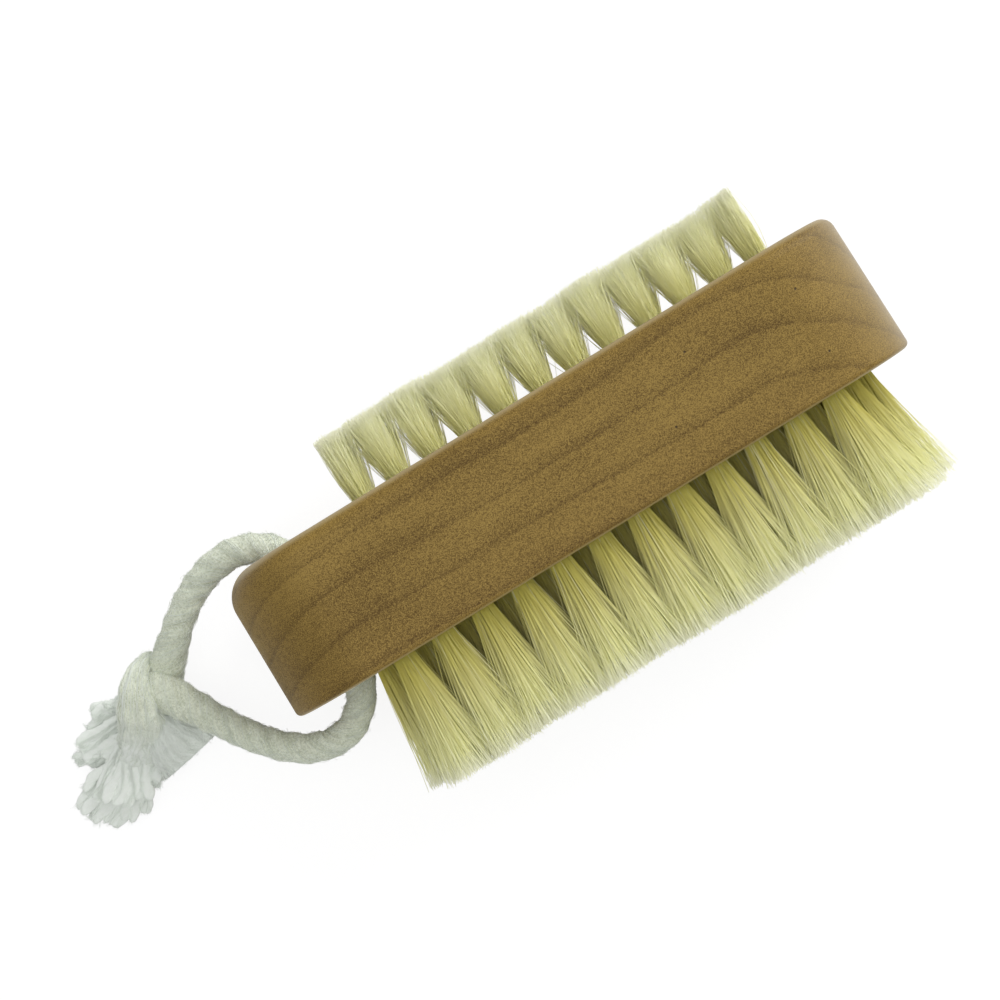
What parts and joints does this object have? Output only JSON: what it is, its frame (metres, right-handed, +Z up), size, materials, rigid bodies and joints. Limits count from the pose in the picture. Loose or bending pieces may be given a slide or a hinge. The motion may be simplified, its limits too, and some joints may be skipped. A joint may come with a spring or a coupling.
{
  "type": "nail brush",
  "caption": "Two-sided wooden nail brush: staggered rows of long scrub tufts, one row of short nail tufts, and a knotted rope loop through one end for hanging.",
  "frame": {"origin": "middle of the flat long side of the stock that the brush lies on", "axes": "+X along the stock away from the rope end, +Y through its thickness from the long scrub bristles to the short nail bristles, +Z up across the stock's width"},
  "size_m": [0.1303, 0.0481, 0.035],
  "materials": {
    "wood": "fine sanded, oiled, matt",
    "bristle": "stiff pale plant-fibre bristle",
    "anchor_wire": "flat drawn wire",
    "cotton_rope": "undyed twisted cotton"
  },
  "bodies": {
    "brush": {"wood_stock": "wood", "scrub_tufts_row_1": "bristle", "scrub_tufts_row_2": "bristle", "scrub_tufts_row_3": "bristle", "scrub_tufts_row_4": "bristle", "scrub_tufts_row_5": "bristle", "scrub_anchors_row_1": "anchor_wire", "scrub_anchors_row_2": "anchor_wire", "scrub_anchors_row_3": "anchor_wire", "scrub_anchors_row_4": "anchor_wire", "scrub_anchors_row_5": "anchor_wire", "nail_tuft_01": "bristle", "nail_tuft_02": "bristle", "nail_tuft_03": "bristle", "nail_tuft_04": "bristle", "nail_tuft_05": "bristle", "nail_tuft_06": "bristle", "nail_tuft_07": "bristle", "nail_tuft_08": "bristle", "nail_tuft_09": "bristle", "nail_tuft_10": "bristle", "nail_tuft_11": "bristle", "nail_tuft_12": "bristle", "nail_anchors": "anchor_wire"},
    "rope": {"hang_rope": "cotton_rope", "rope_knot": "cotton_rope", "rope_end_upper": "cotton_rope", "rope_end_lower": "cotton_rope"}
  },
  "joints": [
    {"name": "loop_swing", "type": "hinge", "parent": "brush", "child": "rope", "pos_m": [-0.0375, 0, 0.0175], "axis": [0, 1, 0], "range_deg": [-32, 80]}
  ]
}
